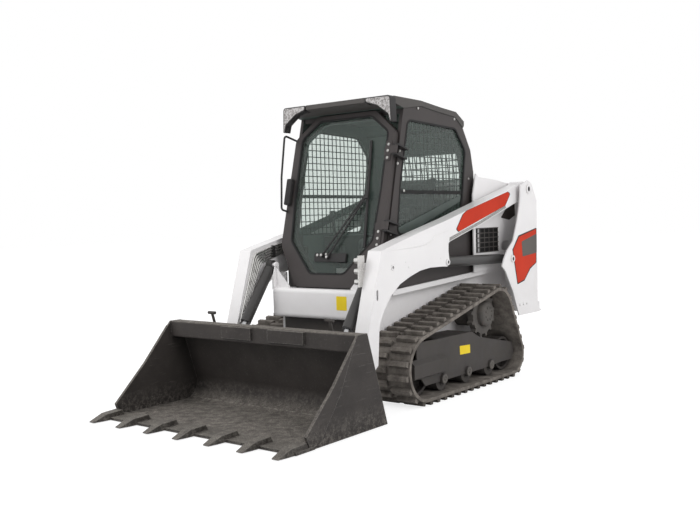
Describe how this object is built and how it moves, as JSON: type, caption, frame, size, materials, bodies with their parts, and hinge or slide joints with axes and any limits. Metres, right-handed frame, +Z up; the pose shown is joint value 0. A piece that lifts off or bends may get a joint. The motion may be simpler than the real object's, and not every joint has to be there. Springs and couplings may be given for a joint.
{
  "type": "compact track loader",
  "caption": "Compact loader on rubber tracks with radius-path lift arms, a toothed bucket on a quick coupler, a glazed cab and an opening engine bay.",
  "frame": {"origin": "on the ground under the middle of the overall length and width", "axes": "+X to the machine's left, +Y to its rear, +Z up"},
  "size_m": [1.565, 3.208, 1.964],
  "materials": {
    "white_paint": "gloss",
    "cab_paint": "satin",
    "bucket_paint": "worn satin",
    "frame_black": "satin",
    "track_rubber": "matte, dusty",
    "glass": "tinted",
    "screen_black": "matte",
    "chrome_rod": "polished",
    "steel": "satin",
    "seat_vinyl": "grained",
    "plastic_black": "satin",
    "cast_iron": "rough",
    "lamp_lens": "clear"
  },
  "bodies": {
    "chassis": {"cab_frame": "cab_paint", "cab_glass": "glass", "cab_roof": "cab_paint", "controls": "plastic_black", "door_hinges": "plastic_black", "engine_block": "cast_iron", "hood_pins": "steel", "idlers_left": "frame_black", "idlers_right": "frame_black", "lamp_lenses": "glass", "main_frame": "white_paint", "rear_body": "white_paint", "rear_bumper": "white_paint", "rollers_left": "frame_black", "rollers_right": "frame_black", "seat": "seat_vinyl", "seat_deck": "plastic_black", "side_grilles": "screen_black", "sprocket_left": "frame_black", "sprocket_right": "frame_black", "tail_lamps": "plastic_black", "tailgate_hinges": "steel", "tower_left": "white_paint", "tower_pins_left": "steel", "tower_pins_right": "steel", "tower_right": "white_paint", "track_frame_left": "white_paint", "track_frame_right": "white_paint", "track_left": "track_rubber", "track_right": "track_rubber", "window_screens": "screen_black", "work_lamps": "plastic_black"},
    "arms": {"arm_left": "white_paint", "arm_right": "white_paint", "arm_crossmember": "white_paint", "hydraulic_tubes": "steel", "coupler_block": "steel"},
    "bucket": {"bucket_shell": "bucket_paint", "cutting_edge": "steel", "bucket_teeth": "steel", "quick_attach": "bucket_paint"},
    "cab_door": {"door_frame": "cab_paint", "door_glass": "glass", "wiper": "plastic_black", "door_handle": "plastic_black"},
    "hood": {"hood": "white_paint"},
    "tailgate": {"tailgate": "white_paint"},
    "lift_barrel_left": {"lift_barrel_left": "frame_black"},
    "lift_rod_left": {"lift_rod_left": "chrome_rod"},
    "tilt_barrel_left": {"tilt_barrel_left": "frame_black"},
    "tilt_rod_left": {"tilt_rod_left": "chrome_rod"},
    "lift_barrel_right": {"lift_barrel_right": "frame_black"},
    "lift_rod_right": {"lift_rod_right": "chrome_rod"},
    "tilt_barrel_right": {"tilt_barrel_right": "frame_black"},
    "tilt_rod_right": {"tilt_rod_right": "chrome_rod"}
  },
  "joints": [
    {"name": "lift", "type": "hinge", "parent": "chassis", "child": "arms", "pos_m": [0, 1.4, 1.373], "axis": [-1, 0, 0], "range_deg": [0, 65.4]},
    {"name": "bucket_tilt", "type": "hinge", "parent": "arms", "child": "bucket", "pos_m": [0, -0.656, 0.232], "axis": [-1, 0, 0], "range_deg": [-105, 30]},
    {"name": "door_hinge", "type": "hinge", "parent": "chassis", "child": "cab_door", "pos_m": [0.47, -0.29613, 0.82918], "axis": [0, 0.2392, 0.971], "range_deg": [0, 90]},
    {"name": "hood_hinge", "type": "hinge", "parent": "chassis", "child": "hood", "pos_m": [0, 0.966, 1.44], "axis": [1, 0, 0], "range_deg": [0, 60]},
    {"name": "tailgate_hinge", "type": "hinge", "parent": "chassis", "child": "tailgate", "pos_m": [0.465, 1.56, 0.9], "axis": [0, 0, -1], "range_deg": [0, 100]},
    {"name": "lift_barrel_left_swing", "type": "hinge", "parent": "chassis", "child": "lift_barrel_left", "pos_m": [0.545, 1.129, 0.855], "axis": [-1, 0, 0], "range_deg": [-1, 63.5]},
    {"name": "lift_rod_left_slide", "type": "slide", "parent": "lift_barrel_left", "child": "lift_rod_left", "axis": [0, -0.9997, 0.0249], "range_m": [-0.002, 0.632]},
    {"name": "tilt_barrel_left_swing", "type": "hinge", "parent": "arms", "child": "tilt_barrel_left", "pos_m": [0.43, -0.335, 0.882], "axis": [-1, 0, 0], "range_deg": [-1.5, 4]},
    {"name": "tilt_rod_left_slide", "type": "slide", "parent": "tilt_barrel_left", "child": "tilt_rod_left", "axis": [0, -0.588, -0.8089], "range_m": [-0.076, 0.262]},
    {"name": "lift_barrel_right_swing", "type": "hinge", "parent": "chassis", "child": "lift_barrel_right", "pos_m": [-0.545, 1.129, 0.855], "axis": [-1, 0, 0], "range_deg": [-1, 63.5]},
    {"name": "lift_rod_right_slide", "type": "slide", "parent": "lift_barrel_right", "child": "lift_rod_right", "axis": [0, -0.9997, 0.0249], "range_m": [-0.002, 0.632]},
    {"name": "tilt_barrel_right_swing", "type": "hinge", "parent": "arms", "child": "tilt_barrel_right", "pos_m": [-0.43, -0.335, 0.882], "axis": [-1, 0, 0], "range_deg": [-1.5, 4]},
    {"name": "tilt_rod_right_slide", "type": "slide", "parent": "tilt_barrel_right", "child": "tilt_rod_right", "axis": [0, -0.588, -0.8089], "range_m": [-0.076, 0.262]}
  ],
  "couplings": [
    {"joint": "lift_barrel_left_swing", "follows": "lift", "ratio": 0.95734},
    {"joint": "lift_rod_left_slide", "follows": "lift", "m_per_rad": 0.55134},
    {"joint": "tilt_barrel_left_swing", "follows": "bucket_tilt", "ratio": -0.03},
    {"joint": "tilt_rod_left_slide", "follows": "bucket_tilt", "m_per_rad": -0.14095},
    {"joint": "lift_barrel_right_swing", "follows": "lift", "ratio": 0.95734},
    {"joint": "lift_rod_right_slide", "follows": "lift", "m_per_rad": 0.55134},
    {"joint": "tilt_barrel_right_swing", "follows": "bucket_tilt", "ratio": -0.03},
    {"joint": "tilt_rod_right_slide", "follows": "bucket_tilt", "m_per_rad": -0.14095}
  ]
}
